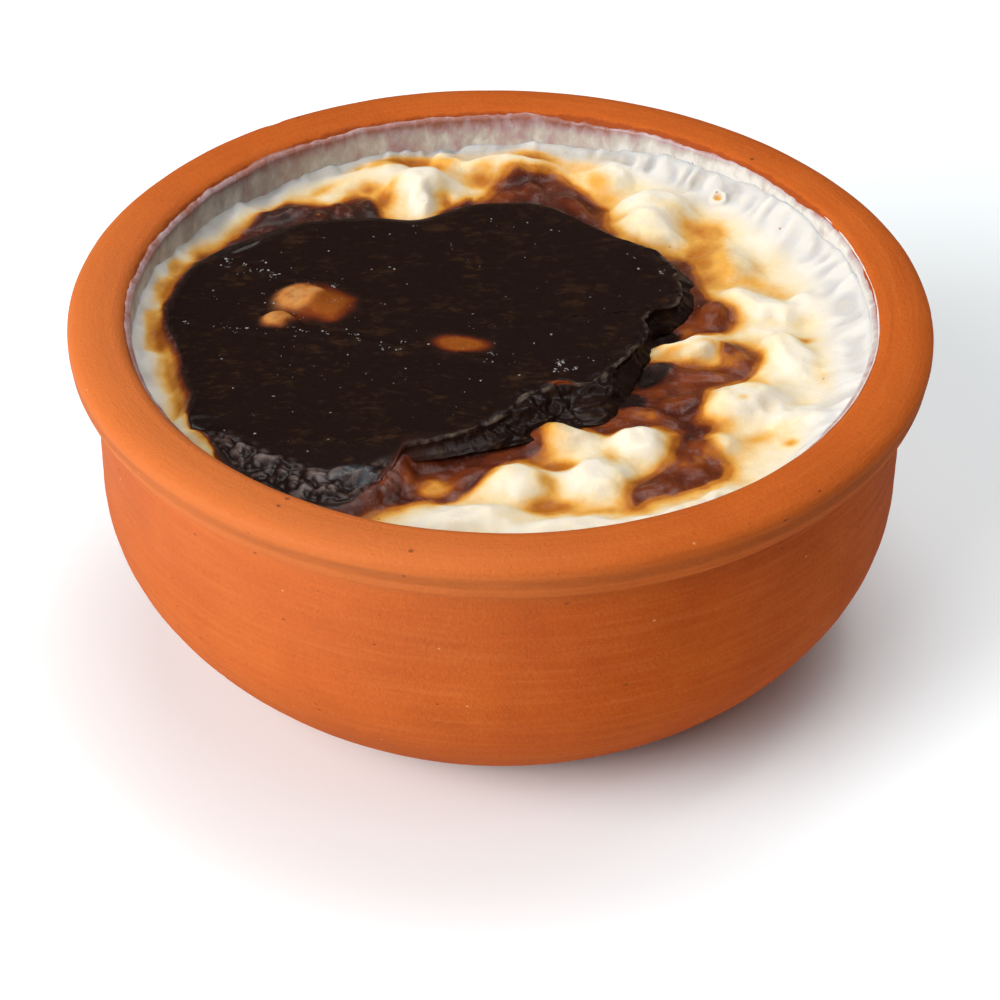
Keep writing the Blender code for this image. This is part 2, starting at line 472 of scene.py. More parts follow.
# Places on the burnt skin that stayed light: (oval, how brown there)
LIGHT_SPOTS = (
    ((-26.6, 6.0, 6.0, 6.0, -15), 0.60),
    ((-25.0, 5.4, 4.5, 4.5, -10), 0.47),
    ((-28.9, 6.6, 2.9, 3.6, -25), 0.33),
    ((-26.2, 8.0, 1.6, 1.5, 10), 0.36),
    ((-31.0, 1.6, 2.9, 2.8, 15), 0.54),
    ((-31.0, 1.6, 2.2, 1.9, 15), 0.32),
    ((-6.0, -4.0, 4.9, 3.2, -4), 0.47),
    ((8, -12.8, 2.2, 0.7, 5), 0.52),
)

# The light spots' own relief: (oval, rise), and the fold across one of them
SPOT_LUMPS = (
    ((-28.2, 7.2, 4.2, 4.0, -25), 1.0),
    ((-24.8, 5.2, 3.4, 3.2, 0), 0.6),
    ((-31.6, 1.6, 2.4, 2.0, 15), 0.9),
)
SPOT_FOLD = ((-33.5, 3.6), (-30.8, 3.9), (-28.6, 2.4), (-27.4, 0.6))

# Grooves in the burnt skin's left edge, where the rise is below 0, and a fold beside one: (oval, rise)
GROOVES = (
    ((-39.8, -23.2, 2.6, 1.2, -12), -1.2),
    ((-39.8, -25.0, 3.4, 0.8, -12), 0.4),
    ((-37.5, 22.0, 6.0, 1.0, 36), -1.3),
)

# Raised lines across the burnt skin
CREASES = (
    ((-41, 17.5), (-35, 14), (-29, 12), (-23, 9)),
    ((-44, 2), (-36, -1), (-28, -2), (-20, -4), (-14, -5), (-4, -7), (0, -8.5)),
)


SKIN_LINE = curve_through(SKIN_EDGE)
BROWNED_LINES = [(curve_through(outline), depth, fade) for outline, depth, fade in BROWNED]


def wall_climb(x, y):
    """(how far the milk skin has climbed towards its height at the wall, that height over the level)"""
    r = np.hypot(x, y)
    bearing = np.degrees(np.arctan2(y, x)) % 360
    bearings, heights, runs = np.array(SKIN_AT_WALL, float).T
    at_wall = np.interp(bearing, bearings, heights, period=360)
    run = np.interp(bearing, bearings, runs, period=360)
    run = run * (1 + 0.15 * noise(x, y, 7, 5))
    share = np.clip((r - (INNER_R - run)) / run, 0, 1)
    return 0.35 * share + 0.65 * share**2.2, at_wall - LEVEL_Z


def proud_edge(x, y):
    """How far the skin's nearest edge stands proud of the cream, 0 to 1."""
    corners = np.array(EDGE_FALL, float)
    place = nearest_place(x, y, SKIN_LINE) * len(SKIN_EDGE)
    return np.interp(place, corners[:, 0], corners[:, 4])


def skin_height(x, y):
    """Height of the burnt skin's top."""
    height = np.full(np.shape(x), SKIN_Z)
    height += 0.30 * noise(x, y, 16, 201, octaves=2)
    height += 0.07 * noise(x, y, 3.0, 203, octaves=3)
    height -= 0.7 * smooth((-28 - x) / 16)  # it settles towards the left wall
    height -= 0.3 * smooth((y - 18) / 12)
    height -= 1.2 * smooth((-27 - y) / 8)
    for oval, rise in SPOT_LUMPS:
        height += rise * smooth(mound(x, y, oval) * 1.6 - 0.3)
    for line in CREASES:
        gap = distance_to_line(x, y, curve_through(line, closed=False))
        height += 0.26 * np.exp(-((gap / 0.7) ** 2)) * (1 + 1.4 * noise(x, y, 1.5, 207))
    for oval, rise in GROOVES:
        height += rise * mound(x, y, oval)
    return height


def pudding_height(x, y):
    """Height of the cream's surface."""
    share, climb = wall_climb(x, y)
    bearing = np.arctan2(y, x)
    wobble = noise(x, y, 3.4, 71, octaves=2)
    other = noise(x, y, 3.4, 73, octaves=2)
    height = LEVEL_Z - 0.5 + share * climb
    for oval, rise in LUMPS:
        height += 1.7 * rise * smooth(1.1 * mound(x + 1.0 * wobble, y + 1.0 * other, oval))
    for oval, depth in HOLLOWS:
        height -= depth * mound(x, y, oval)
    for oval, rise in BUMPS:
        bump = mound(x + 0.4 * wobble, y + 0.4 * other, oval)
        height += rise * smooth(bump * 1.25)
    height += 0.50 * noise(x, y, 6.5, 11, octaves=1)
    height += 0.20 * noise(x, y, 2.6, 23, octaves=2)
    for ring_x, ring_y, ring_r in RING_BLISTERS:
        gap = np.hypot(x - ring_x, y - ring_y) - ring_r
        height += 0.45 * np.exp(-((gap / 0.35) ** 2))
    # Pleats run down the wall
    along = bearing * 48 + 1.2 * wobble
    pleats = noise(along, 0.20 * np.hypot(x, y), 2.3, 41, octaves=2)
    pleats += 0.7 * noise(along, 0.3 * np.hypot(x, y), 5.0, 43, octaves=1)
    facing_right = smooth(0.5 + 0.9 * np.cos(bearing - 0.5))
    height += (0.3 + 1.05 * facing_right) * pleats * smooth(share * 2.2 - 0.5) * smooth((1.0 - share) * 4)
    gap = depth_inside(x, y, SKIN_LINE)
    proud = proud_edge(x, y)
    meets = smooth((gap + 3.0) / 3.0) * (1 - proud)
    height = height * (1 - meets) + (skin_height(x, y) - 0.04) * meets
    relief, _ = blister_relief(x, y)
    height += blistered(x, y) * mound(x, y, FRONT_FLOW) * relief
    under = smooth((gap - 0.35 * (1 - proud) + 0.2 * proud) / (1.2 + 0.8 * proud))
    return height * (1 - under) + (SKIN_Z - 2.2) * under


def toast_field(x, y):
    """How browned the cream is: 0 cream, 0.12 straw, 0.25 amber, 0.5 red-brown, 1 black."""
    wx = x + 0.8 * noise(x, y, 5.0, 101) + 0.14 * noise(x, y, 1.6, 103)
    wy = y + 0.8 * noise(x, y, 5.0, 107) + 0.14 * noise(x, y, 1.6, 109)
    toast = 0.05 * np.clip(noise(x, y, 7.0, 117), 0, 1)
    for oval, strength in TINTS:
        toast = toast + (1 - toast) * strength * mound(wx, wy, oval)
    toast = np.minimum(toast, 0.28)
    halo = 1.45 * (1 + 1.4 * noise(x, y, 8.0, 119))
    spread = 1 + 0.9 * noise(x, y, 5.0, 125, octaves=2)
    for line, depth, fade in BROWNED_LINES:
        inside = depth_inside(wx, wy, line)
        core = depth * smooth((inside + 0.4 * fade * spread) / (0.95 * fade * spread))
        tail = 0.36 * np.exp(-np.clip(-inside, 0, None) / np.maximum(halo, 0.4))
        browned = np.maximum(core, tail)
        toast = np.maximum(toast, browned) + 0.2 * np.minimum(toast, browned) * (toast < 0.4)
    for oval, strength in BURNT:
        toast = np.maximum(toast, strength * smooth(mound(wx, wy, oval) * 1.5))
    toast += 0.15 * noise(x, y, 3.6, 113, octaves=3) * smooth((toast - 0.36) * 6)
    near_skin = depth_inside(wx, wy, SKIN_LINE)
    proud = proud_edge(x, y)
    reach = 1.2 + 0.9 * smooth((y + 5) / 15) + 0.6 * noise(x, y, 6.0, 121) - 0.6 * proud
    black = 0.98 * smooth((near_skin + reach) / (reach + 0.25))
    black *= 1 - 0.40 * mound(x, y, FRONT_FLOW)
    toast = np.maximum(toast, black)
    left = smooth((-33 - x) / 6) * smooth((y + 22) / 6)
    run = 1.0 + 0.5 * noise(x, y, 5.0, 123) + left * (0.5 + 1.1 * noise(x, y, 4.0, 127))
    tail = (0.30 + 0.26 * left) * np.exp(-np.clip(-near_skin - 0.6, 0, None) / run)
    toast = np.maximum(toast, tail)
    for oval, level in UNBROWNED:
        cover = smooth(mound(wx, wy, oval) * 1.4 - 0.15)
        toast = toast * (1 - cover) + level * cover
    return np.clip(toast, 0, 1)


# ---------------------------------------------------------------- meshes


def new_piece(name, verts, faces, material, smooth_faces=True):
    mesh = bpy.data.meshes.new(name)
    mesh.from_pydata((np.asarray(verts) * MM).tolist(), [], faces)
    mesh.update()
    if smooth_faces:
        mesh.shade_smooth()
    piece = bpy.data.objects.new(name, mesh)
    bpy.context.scene.collection.objects.link(piece)
    mesh.materials.append(material)
    return piece


def write_field(piece, name, values):
    layer = piece.data.attributes.new(name, "FLOAT", "POINT")
    layer.data.foreach_set("value", np.asarray(values, np.float32))


def ring_faces(rings, around, first_is_point, last_is_point):
    """Faces between rings of points, each running counter-clockwise seen from outside the last."""
    faces = []
    step = np.arange(around)
    after = (step + 1) % around
    for k in range(rings - 1):
        low, high = k * around, (k + 1) * around
        faces += np.stack([low + step, high + step, high + after, low + after], 1).tolist()
    if first_is_point:
        faces.append(list(range(around)))
    if last_is_point:
        start = (rings - 1) * around
        faces.append(list(range(start, start + around))[::-1])
    return faces


def lathe(profile, around, shift=None):
    """Rings of points round +Z from a profile of (r, z), with shift(angle, r, z) -> (dr, dz)."""
    angles = np.arange(around) * 2 * math.pi / around
    r = np.repeat(profile[:, 0], around).reshape(len(profile), around)
    z = np.repeat(profile[:, 1], around).reshape(len(profile), around)
    angle = np.broadcast_to(angles, r.shape)
    if shift:
        dr, dz = shift(angle, r, z)
        r, z = r + dr, z + dz
    return np.stack([r * np.cos(angle), r * np.sin(angle), z], -1).reshape(-1, 3)


def resample(profile, spacing):
    """The same profile with points no further apart than the spacing."""
    made = [profile[0]]
    for start, end in zip(profile[:-1], profile[1:]):
        steps = max(1, math.ceil(math.hypot(*(end - start)) / spacing))
        for k in range(1, steps + 1):
            made.append(start + (end - start) * k / steps)
    return np.array(made)


# ---------------------------------------------------------------- the bowl


def rounded_corner(centre, half_r, half_z, start, end, count):
    turn = np.radians(np.linspace(start, end, count))
    along, up = np.cos(turn), np.sin(turn)
    r = centre[0] + half_r * np.sign(along) * np.abs(along) ** (2 / ROUNDING)
    z = centre[1] + half_z * np.sign(up) * np.abs(up) ** (2 / ROUNDING)
    return np.stack([r, z], 1)


def bowl_profile():
    """From the inside floor up over the rim and down to the foot."""
    crest_z = RIM_TOP_Z - RIM_DROOP
    inside_z = np.linspace(FLOOR_Z, BELLY_Z, 20)
    share = 1 - (inside_z - FLOOR_Z) / (BELLY_Z - FLOOR_Z)
    inside = np.stack([INNER_R - (INNER_R - FLOOR_R) * share**2, inside_z], 1)
    lip = rounded_corner(
        (LIP_R, INNER_LIP_Z), LIP_R - INNER_R, crest_z - INNER_LIP_Z, 180, 90, 14
    )
    crown = rounded_corner(
        (RIM_CREST_R, RIM_WIDEST_Z), RIM_R - RIM_CREST_R, RIM_TOP_Z - RIM_WIDEST_Z, 90, 0, 20
    )
    under_r = BODY_R + 0.5
    turn = np.radians(np.linspace(8, 82, 12))
    under = np.stack(
        [
            under_r + (RIM_R - under_r) * np.cos(turn),
            RIM_WIDEST_Z - (RIM_WIDEST_Z - NECK_Z - 0.5) * np.sin(turn),
        ],
        1,
    )
    neck = np.array([[BODY_R + 0.22, NECK_Z + 0.22], [BODY_R + 0.02, NECK_Z - 0.15]])
    straight = np.array([[BODY_R, NECK_Z - 1.0], [BODY_R, BELLY_Z + 0.5]])
    outside_z = np.linspace(BELLY_Z, FOOT_H, 40)
    outside = np.stack([BODY_R - BODY_CURVE * (1 - outside_z / BELLY_Z) ** 2, outside_z], 1)
    foot = np.array(
        [
            [FOOT_R + 0.35, FOOT_H - 0.12],
            [FOOT_R, FOOT_H - 0.3],
            [FOOT_R, 0.35],
            [FOOT_R - 0.1, 0.1],
            [FOOT_R - 0.4, 0.0],
        ]
    )
    bottom = np.array([[FOOT_R - 8, 0.0], [0.8, 0.0]])
    start = np.array([[0.8, FLOOR_Z]])
    return np.vstack([start, inside, lip, crown, under, neck, straight, outside, foot, bottom])


def hand_made(angle, r, z):
    """The small ways in which a thrown bowl isn't round."""
    on_rim = smooth((z - 44) / 4) * smooth((r - 45) / 5)
    high = smooth((z - 6) / 20)
    x, y = r * np.cos(angle), r * np.sin(angle)
    dr = high * (0.16 * np.cos(angle - 3.9) + 0.10 * np.cos(2 * angle + 0.8))
    dr += high * 0.10 * noise(angle * 30, z, 14, 301)
    dr += on_rim * 0.12 * noise(angle * 40, z * 2, 9, 307)
    # Throwing rings, strongest on the rim's lower face
    low_rim = np.exp(-(((z - 48.4) / 1.7) ** 2)) * (r > 55)
    rings = np.sin(z * 4.6 + 0.5 * np.sin(angle * 2) + 0.9 * noise(angle * 20, z, 10, 311))
    dr += 0.13 * low_rim * rings
    body = smooth((z - 2) / 4) * smooth((46 - z) / 3) * (r > 38)
    dr += 0.022 * body * np.sin(z * 2.1 + 0.5 * np.sin(angle * 3))
    dz = on_rim * 0.10 * noise(x, y, 16, 313)
    # A chip in the outer edge, far left
    chip = np.exp(-(((angle - 2.20) * 60 / 1.1) ** 2)) * np.exp(-(((z - 52.4) / 1.1) ** 2)) * (r > 57)
    dr -= 0.35 * chip
    return dr * (r > 5), dz


def build_bowl(material):
    around = BOWL_SECTORS
    profile = resample(bowl_profile(), BOWL_SPACING)
    verts = lathe(profile, around, hand_made)
    faces = ring_faces(len(profile), around, True, True)
    piece = new_piece("clay_bowl", verts, faces, material)
    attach(piece, "root")
    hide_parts("bowl")
    return piece


# ---------------------------------------------------------------- the pudding


PUDDING_GRID = 300  # points along each side of the grid that makes the pudding's top
INTO_CLAY = 0.12  # how far the pudding reaches into the clay

# Rings down its side: (z, radius, or None for the top's)
PUDDING_SIDE = ((40.0, None), (BELLY_Z, None), (14.0, 42.0), (FLOOR_Z + 0.1, 29.5))
SUNK_REACH = 9  # a hollow is measured against the mean this many grid points either way


def disc_grid(count, radius):
    """A square grid of points mapped onto a disc, with its border on the circle."""
    line = np.linspace(-1, 1, count)
    u, v = np.meshgrid(line, line, indexing="ij")
    x = radius * u * np.sqrt(1 - v**2 / 2)
    y = radius * v * np.sqrt(1 - u**2 / 2)
    return x.ravel(), y.ravel()


def grid_faces(count):
    i, j = np.meshgrid(np.arange(count - 1), np.arange(count - 1), indexing="ij")
    corner = (i * count + j).ravel()
    return np.stack([corner, corner + count, corner + count + 1, corner + 1], 1).tolist()


def border_of(count):
    """Indices round the square grid's border, counter-clockwise."""
    last = count - 1
    bottom = [i * count for i in range(last)]
    right = [last * count + j for j in range(last)]
    top = [i * count + last for i in range(last, 0, -1)]
    left = [j for j in range(last, 0, -1)]
    return bottom + right + top + left


def blurred(grid, reach):
    """The grid's mean over a square of 2 * reach + 1 cells a side."""
    for axis in (0, 1):
        padding = [(0, 0), (0, 0)]
        padding[axis] = (reach + 1, reach)
        sums = np.cumsum(np.pad(grid, padding, mode="edge"), axis=axis)
        upper = np.take(sums, range(2 * reach + 1, sums.shape[axis]), axis=axis)
        lower = np.take(sums, range(0, sums.shape[axis] - 2 * reach - 1), axis=axis)
        grid = (upper - lower) / (2 * reach + 1)
    return grid


def close_below(faces, border, start, loops_below):
    """Adds walls from the border down through loops of points numbered from start, and a bottom."""
    around = len(border)
    loops = [border]
    for k in range(loops_below):
        loops.append(list(range(start + k * around, start + (k + 1) * around)))
    for upper, lower in zip(loops[:-1], loops[1:]):
        for k in range(around):
            after = (k + 1) % around
            faces.append([upper[after], upper[k], lower[k], lower[after]])
    faces.append(loops[-1][::-1])


def build_pudding(material):
    count = PUDDING_GRID
    radius = INNER_R + INTO_CLAY
    x, y = disc_grid(count, radius)
    z = pudding_height(x, y)
    verts = np.stack([x, y, z], 1)
    faces = grid_faces(count)
    border = border_of(count)
    rows = []
    for low_z, low_r in PUDDING_SIDE:
        row = verts[border].copy()
        row[:, :2] *= (low_r or radius) / radius
        row[:, 2] = low_z
        rows.append(row)
    close_below(faces, border, len(verts), len(rows))
    verts = np.vstack([verts, *rows])
    piece = new_piece("pudding_cream", verts, faces, material)
    x, y = verts[:, 0], verts[:, 1]
    toast = toast_field(x, y)
    share, _ = wall_climb(x, y)
    sunk = np.zeros(len(verts))
    top = z.reshape(count, count)
    sunk[: count * count] = (blurred(top, SUNK_REACH) - top).ravel()
    # Browner in the hollows between lumps, a touch paler on the lumps: painted shade and light
    toast = np.clip(toast + np.clip(0.20 * sunk, -0.02, 0.11), 0, 1)
    write_field(piece, "toast", toast)
    write_field(piece, "at_wall", share)
    # The pleats' valleys, where the cream gets painted shade
    write_field(piece, "pleat_shade", np.clip(2.2 * sunk, 0, 1) * smooth(share * 4))
    # The bubbles' tops, for a painted highlight on them
    _, tops = blister_relief(x, y)
    write_field(piece, "bubbly", blistered(x, y) * mound(x, y, FRONT_FLOW) * tops)
    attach(piece, "root")
    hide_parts("pudding")
    return piece


# ---------------------------------------------------------------- the burnt skin


def bubbles(x, y, cell, seed):
    """Domes of random size packed side by side, 0 to 1."""
    rng = np.random.default_rng(seed)
    u, v = x / cell, y / cell
    i, j = np.floor(u).astype(int), np.floor(v).astype(int)
    jitter = rng.uniform(0.1, 0.9, (64, 64, 3))
    best = np.zeros(np.shape(x))
    for di in (-1, 0, 1):
        for dj in (-1, 0, 1):
            pick = jitter[(i + di) % 64, (j + dj) % 64]
            gap = np.hypot(u - (i + di) - pick[..., 0], v - (j + dj) - pick[..., 1])
            size = 0.35 + 0.4 * pick[..., 2]
            best = np.maximum(best, size * np.sqrt(np.clip(1 - (gap / size) ** 2, 0, 1)))
    return best


# The blisters that stand out in the strip along the front left: (oval, rise); a hollow has a rise below 0
BLISTERS = (
    ((-20.5, -33.6, 2.4, 1.6, 0), 1.1),
    ((-17.0, -33.0, 1.6, 1.3, 20), 1.0),
    ((-19.6, -33.4, 0.9, 0.5, 10), -0.7),
    ((-16.6, -33.2, 0.6, 0.5, 0), -0.5),
    ((-24.5, -33.2, 1.7, 1.2, -20), 0.8),
    ((-28.0, -31.0, 1.8, 1.0, -15), 0.9),
    ((-31.5, -31.2, 1.4, 1.0, 10), 0.7),
    ((-26.5, -35.5, 1.6, 0.9, -25), 0.7),
    ((-22.0, -37.3, 1.8, 0.9, 10), 0.8),
    ((-17.5, -37.0, 1.6, 1.0, 15), 0.9),
    ((-14.6, -35.0, 1.3, 0.9, 30), 0.7),
    ((-33.8, -29.0, 1.4, 0.8, -30), 0.6),
)


def blister_relief(x, y):
    """(height of the blistered strip over the skin, share of the way up each bubble)"""
    warp_x = x + 0.5 * noise(x, y, 2.2, 261)
    warp_y = y + 0.5 * noise(x, y, 2.2, 263)
    domes = bubbles(warp_x, 1.25 * warp_y, 1.4, 233)
    relief = 0.50 * noise(x, y, 3.0, 265, octaves=2) + 0.55 * domes
    relief += 0.10 * noise(x, y, 0.9, 267, octaves=1)
    for oval, rise in BLISTERS:
        relief += rise * smooth(1.2 * mound(warp_x, warp_y, oval))
    return relief - 0.2, np.clip(0.5 * relief + 0.9 * domes - 0.25, 0, 1)


def blistered(x, y):
    """1 in the glossy, blistered strip along the front left."""
    strip = curve_through(
        ((-37, -29.5), (-31.5, -33), (-25, -35.5), (-19, -36), (-14.5, -34.5)), closed=False
    )
    gap = distance_to_line(x + 1.2 * noise(x, y, 3, 231), y + 1.2 * noise(x, y, 3, 235), strip)
    return smooth((4.6 - gap) / 2.4)


def edge_values(count):
    """(width, drop, crumpling, proudness) at each of count places along the skin's edge."""
    corners, *columns = np.array(EDGE_FALL, float).T
    place = np.arange(count) * len(SKIN_EDGE) / count
    return [np.interp(place, corners, values) for values in columns]


def torn_outline():
    """Points along the skin's edge, with the tears' fine wander, and the way out at each."""
    edge = curve_through(SKIN_EDGE, steps=17)
    _, _, crumples, _ = edge_values(len(edge))
    ahead = np.roll(edge, -3, axis=0) - np.roll(edge, 3, axis=0)
    ahead /= np.linalg.norm(ahead, axis=1)[:, None]
    outward = np.stack([-ahead[:, 1], ahead[:, 0]], 1)
    for _ in range(12):
        outward = outward + np.roll(outward, 1, axis=0) + np.roll(outward, -1, axis=0)
        outward /= np.linalg.norm(outward, axis=1)[:, None]
    x, y = edge.T
    wander = 0.45 * noise(x, y, 2.2, 211) + 0.22 * noise(x, y, 0.7, 213)
    return edge + outward * ((0.1 + crumples) * wander)[:, None], outward


def along_outline(values, place):
    """Values given round the skin's edge, read at places from 0 to 1 round it."""
    stops = np.arange(len(values) + 1) / len(values)
    wrapped = np.concatenate([values, values[:1]])
    return np.interp(place % 1, stops, wrapped)


def skin_top(edge, outward, count):
    """A square grid of points mapped onto the skin: (x, y, share of the way out, place round)."""
    u, v = disc_grid(count, 1.0)
    share = np.hypot(u, v)
    middle = np.array(SKIN_MIDDLE)
    bearings = np.unwrap(np.arctan2(*(edge - middle).T[::-1]))
    falling = -bearings  # the edge runs clockwise
    falling = np.maximum.accumulate(falling)
    target = -np.arctan2(v, u)
    turns = 2 * math.pi
    target = falling[0] + (target - falling[0]) % turns
    stops = np.append(falling, falling[0] + turns)
    places = np.arange(len(stops)) / len(edge)
    place = np.interp(target, stops, places)
    reach_x = along_outline(edge[:, 0], place)
    reach_y = along_outline(edge[:, 1], place)
    x = middle[0] + (reach_x - middle[0]) * share
    y = middle[1] + (reach_y - middle[1]) * share
    inner = (1 - share) * np.hypot(reach_x - middle[0], reach_y - middle[1])
    return x, y, inner, place


def crumpled(x, y, cell, seed):
    """Sharp, broken folds that run along the torn edge, about -0.5 to 0.5."""
    turn = math.radians(32)
    along = 0.45 * (x * math.cos(turn) + y * math.sin(turn))
    across = y * math.cos(turn) - x * math.sin(turn)
    bend = noise(x, y, 2.5 * cell, seed + 5, octaves=2)
    crests = ridges(along + 0.8 * bend, across + 1.2 * bend, cell, seed, octaves=2) - 0.5
    return 0.55 * crests + 0.40 * noise(x, y, 0.75 * cell, seed + 9, octaves=2)


def light_spots(x, y):
    """(how brown, how tan and how deeply folded the skin's top is), from its light spots"""
    toast = np.ones(len(x))
    tan = np.zeros(len(x))
    warp_x = 0.5 * noise(x, y, 2.0, 241) + 1.0 * noise(x, y, 5.0, 243, octaves=1)
    warp_y = 0.5 * noise(x, y, 2.0, 245) + 1.0 * noise(x, y, 5.0, 247, octaves=1)
    for oval, level in LIGHT_SPOTS:
        place_in = mound(x + warp_x, y + warp_y, oval)
        cover = smooth(place_in * 1.9 - 0.5)
        toast = toast * (1 - cover) + level * cover
        tan = np.maximum(tan, smooth(place_in * 1.3 - 0.25) * (level < 0.4))
    fold = np.exp(-((distance_to_line(x, y, curve_through(SPOT_FOLD, closed=False)) / 0.4) ** 2))
    toast = np.maximum(toast, np.minimum(toast + 0.3 * fold, 0.62) * (fold > 0.1))
    return toast, tan * (1 - fold), fold


def fallen_ring(base, out, share, columns):
    """The ring of points that lies this share of the way down the skin's edge."""
    width, drop, crumple, _ = columns
    wide = smooth((width - 1.5) / 3)
    x = base[:, 0] + out[0] * width * share
    y = base[:, 1] + out[1] * width * share
    swell = math.sin(math.pi * min(share * 1.05, 1)) ** 0.6
    fold = crumpled(x, y, 3.8, 251)
    fine = noise(x, y, 1.2, 257, octaves=2)
    # A narrow shelf falls steeply; a wide one sags first and then lies down
    z = base[:, 2] - drop * (share * (1 - wide) + wide * (1 - (1 - share) ** 1.6))
    z += crumple * wide * swell * (2.3 * fold + 0.50 * fine)
    push = crumple * swell * (1.1 * fold + 0.55 * fine)
    # Where the edge stands steep, the crust overhangs its own face
    push -= 0.9 * crumple * (1 - wide) * math.sin(math.pi * min(share * 1.4, 1))
    x = x + out[0] * push * (0.55 + 0.5 * wide)
    y = y + out[1] * push * (0.55 + 0.5 * wide)
    return np.stack([x, y, z], 1)


SKIN_GRID = 240  # points along each side of the grid that makes the skin's top
FALL_RINGS = 32  # rings of points down its edge
UNDERSIDE = ((0.95, 0.8), (0.8, 1.6), (0.3, 1.8))  # (share of the way out, depth under the edge)

# Glossy ovals round the two grooves in its left edge
GLOSSY_GROOVES = (
    (-39.8, -23.2, 3.6, 1.8, -12),
    (-37.5, 22.5, 8.0, 1.8, 36),
)


def build_skin(material):
    count = SKIN_GRID
    edge, outward = torn_outline()
    columns = edge_values(len(edge))
    x, y, inner, place = skin_top(edge, outward, count)
    _, _, crumple, proud = (along_outline(values, place) for values in columns)
    z = skin_height(x, y)
    # The surface curls up a little near a torn edge, with a thin uneven bead along it
    curl = np.exp(-(((inner - 1.4) / 1.2) ** 2)) * (0.6 + 1.3 * noise(x, y, 3.4, 217))
    bead = np.exp(-(((inner - 0.35) / 0.3) ** 2)) * (0.5 + noise(x, y, 0.9, 219))
    z += crumple * (0.5 * curl + 0.26 * bead)
    z -= 0.22 * crumple * np.exp(-inner / 0.2)
    z -= (1 - proud) * 0.5 * np.exp(-inner / 0.25) * (1 - mound(x, y, FRONT_FLOW))
    blister = blistered(x, y)
    blistered_there = [blister]
    relief, tops = blister_relief(x, y)
    at_flow = mound(x, y, FRONT_FLOW)
    z += blister * relief * np.maximum(smooth((inner + 0.5) / 2.0), at_flow)
    toast, tan, folded = light_spots(x, y)
    z -= 0.5 * folded
    # A lighter line along the torn crest: a painted highlight
    crest = crumple * np.exp(-(((inner - 0.15) / 0.32) ** 2))
    crest = crest * smooth(0.35 + 1.3 * noise(x, y, 1.1, 221))
    # Near the front flow the black gives way to brown
    front_edge = at_flow * np.exp(-((inner / 2.8) ** 2))
    toast -= 0.40 * front_edge
    gloss = np.maximum(blister, 0.8 * crumple * np.exp(-inner / 0.7))
    for oval in GLOSSY_GROOVES:
        gloss = np.maximum(gloss, mound(x, y, oval))
    faces = grid_faces(count)
    border = border_of(count)
    around = len(border)
    points, toasts, glosses = [np.stack([x, y, z], 1)], [toast], [gloss]
    rings_below = np.zeros(around * (FALL_RINGS + len(UNDERSIDE)))
    base = points[0][border]
    where = place[border]
    out = [along_outline(outward[:, axis], where) for axis in (0, 1)]
    columns = [along_outline(values, where) for values in columns]
    _, drop, crumple, _ = columns
    patchy = np.clip(0.5 + 0.9 * noise(base[:, 0], base[:, 1], 2.6, 223), 0, 1)
    for k in range(1, FALL_RINGS + 1):
        ring = fallen_ring(base, out, k / FALL_RINGS, columns)
        points.append(ring)
        toasts.append(1 - 0.40 * mound(ring[:, 0], ring[:, 1], FRONT_FLOW))
        blistered_there.append(np.zeros(around))
        glosses.append(0.2 + 0.6 * np.maximum(crumple, 0.3) * patchy)
    middle = np.array(SKIN_MIDDLE)
    for share, lower in UNDERSIDE:
        x, y = (middle + (base[:, :2] - middle) * share).T
        z = np.minimum(base[:, 2] - drop - lower, skin_height(x, y) - 1.5)
        points.append(np.stack([x, y, z], 1))
        toasts.append(np.ones(around))
        blistered_there.append(np.zeros(around))
        glosses.append(np.ones(around))
    close_below(faces, border, count * count, len(points) - 1)
    piece = new_piece("burnt_skin", np.vstack(points), faces, material)
    fields = {"toast": toasts, "gloss": glosses, "blistered": blistered_there}
    for name, values in {"tan": tan, "crest": crest, "tops": tops}.items():
        fields[name] = [values, rings_below]
    for name, parts in fields.items():
        write_field(piece, name, np.concatenate(parts))
    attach(piece, "root")
    return piece


def build_glint_flecks(material):
    """Tiny pale flakes on the burnt skin, thickest along its creases: painted glints."""
    rng = np.random.default_rng(611)
    spots = [rng.uniform((-44, -30), (22, 30)) for _ in range(150)]
    lines = CREASES + (((24, 16), (25, 9)), ((20, 3), (20, -3)), ((14, -8), (8, -10)))
    for line in lines:
        curve = curve_through(line, closed=False)
        for pick in rng.integers(0, len(curve), 13):
            middle = curve[pick] + rng.normal(0, 0.8, 2)
            spots += [middle + rng.normal(0, 0.35, 2) for _ in range(rng.integers(2, 8))]
    for oval, _ in SPOT_LUMPS:
        spots += [np.array(oval[:2]) + rng.normal(0, 4.0, 2) for _ in range(10)]
    spots = np.array(spots)
    kept = depth_inside(spots[:, 0], spots[:, 1], SKIN_LINE) > 1.2
    spots = spots[kept]
    heights = skin_height(spots[:, 0], spots[:, 1])
    verts, faces = [], []
    for (x, y), z in zip(spots, heights):
        sides = 5
        size = 0.05 + 0.15 * rng.random() ** 3
        start = len(verts)
        turn = rng.uniform(0, 2 * math.pi)
        radii = size * rng.uniform(0.6, 1.3, sides)
        tilt = rng.normal(0, 0.25, 2)
        for up in (-0.02, 0.05):
            for k in range(sides):
                angle = turn + 2 * math.pi * k / sides
                dx, dy = 1.3 * radii[k] * math.cos(angle), radii[k] * math.sin(angle)
                verts.append((x + dx, y + dy, z + up + tilt[0] * dx + tilt[1] * dy))
        faces.append([start + k for k in range(sides)][::-1])
        faces.append([start + sides + k for k in range(sides)])
        for k in range(sides):
            after = (k + 1) % sides
            faces.append([start + k, start + after, start + sides + after, start + sides + k])
    piece = new_piece("painted_glint_flecks", verts, faces, material, smooth_faces=False)
    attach(piece, "root")
    return piece


# ---------------------------------------------------------------- the film dried on the wall

